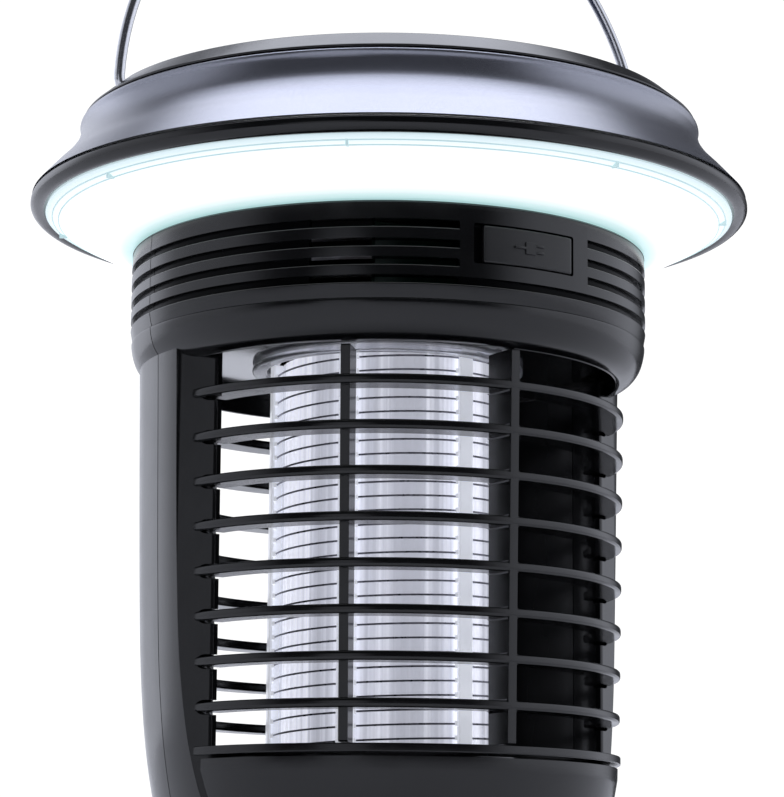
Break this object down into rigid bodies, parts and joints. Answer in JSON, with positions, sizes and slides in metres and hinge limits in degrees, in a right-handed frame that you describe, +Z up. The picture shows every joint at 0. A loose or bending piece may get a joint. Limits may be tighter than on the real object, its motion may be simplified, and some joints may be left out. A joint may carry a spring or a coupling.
{
  "type": "electric bug zapper",
  "caption": "Hanging lantern-type insect zapper with a lit flared cap, slotted housing round a shock grid, pull-out debris drawer and wire bail.",
  "frame": {"origin": "centre of the underside of the foot ring", "axes": "+Z up along the lamp; -Y is the front, with the drawer and the charging port; +X is the right-hand bail pivot"},
  "size_m": [0.1606, 0.1606, 0.2699],
  "materials": {
    "black_plastic": "satin moulded",
    "cap_paint": "satin metallic grey",
    "diffuser": "milky translucent, lit",
    "solar_cell": "gloss over dark cells",
    "pale_plastic": "satin",
    "clear_plastic": "clear fluted",
    "lamp": "frosted",
    "steel": "bright drawn wire",
    "rubber": "matt",
    "circuit_board": "solder mask",
    "cell_sleeve": "shrink sleeve"
  },
  "bodies": {
    "root": {"top_bezel": "black_plastic", "rim_ring": "black_plastic", "cap_deck": "black_plastic", "battery_holder": "black_plastic", "housing_front": "black_plastic", "housing_rear": "black_plastic", "grid_floor": "black_plastic", "base_plate": "black_plastic", "hv_module": "black_plastic", "ceiling_plate": "black_plastic", "front_rib_flush": "black_plastic", "front_rib_recessed": "black_plastic", "rear_rib_left": "black_plastic", "rear_rib_right": "black_plastic", "front_ring_1": "black_plastic", "front_ring_2": "black_plastic", "front_ring_3": "black_plastic", "front_ring_4": "black_plastic", "front_ring_5": "black_plastic", "front_ring_6": "black_plastic", "front_ring_7": "black_plastic", "front_ring_8": "black_plastic", "rear_ring_1": "black_plastic", "rear_ring_2": "black_plastic", "rear_ring_3": "black_plastic", "rear_ring_4": "black_plastic", "rear_ring_5": "black_plastic", "rear_ring_6": "black_plastic", "rear_ring_7": "black_plastic", "rear_ring_8": "black_plastic", "cap_skirt": "cap_paint", "diffuser": "diffuser", "solar_panel": "solar_cell", "reflector": "pale_plastic", "led_board": "pale_plastic", "lamp_socket": "pale_plastic", "lamp_flange": "clear_plastic", "lens_tube": "clear_plastic", "grid_post_1": "clear_plastic", "grid_post_2": "clear_plastic", "grid_post_3": "clear_plastic", "grid_post_4": "clear_plastic", "grid_post_5": "clear_plastic", "grid_post_6": "clear_plastic", "uv_lamp": "lamp", "grid_electrode_a": "steel", "grid_electrode_b": "steel", "usb_port": "steel", "housing_screw_1": "steel", "housing_screw_2": "steel", "housing_screw_3": "steel", "housing_screw_4": "steel", "foot_ring": "rubber", "control_board": "circuit_board", "battery_cell": "cell_sleeve"},
    "bail": {"bail_wire": "steel"},
    "port_cover": {"usb_cover": "rubber"},
    "drawer": {"drawer_front": "black_plastic", "debris_bin": "black_plastic"},
    "button": {"mode_button": "rubber"}
  },
  "joints": [
    {"name": "bail_swing", "type": "hinge", "parent": "root", "child": "bail", "pos_m": [0, 0, 0.203], "axis": [1, 0, 0], "range_deg": [-55, 55]},
    {"name": "port_cover_hinge", "type": "hinge", "parent": "root", "child": "port_cover", "pos_m": [0.01462, -0.05483, 0.16325], "axis": [0, 0, 1], "range_deg": [0, 100]},
    {"name": "drawer_slide", "type": "slide", "parent": "root", "child": "drawer", "axis": [0, -1, 0], "range_m": [0, 0.08]},
    {"name": "button_press", "type": "slide", "parent": "root", "child": "button", "axis": [0, -1, 0], "range_m": [0, 0.0015], "stiffness_N_per_m": 600}
  ]
}
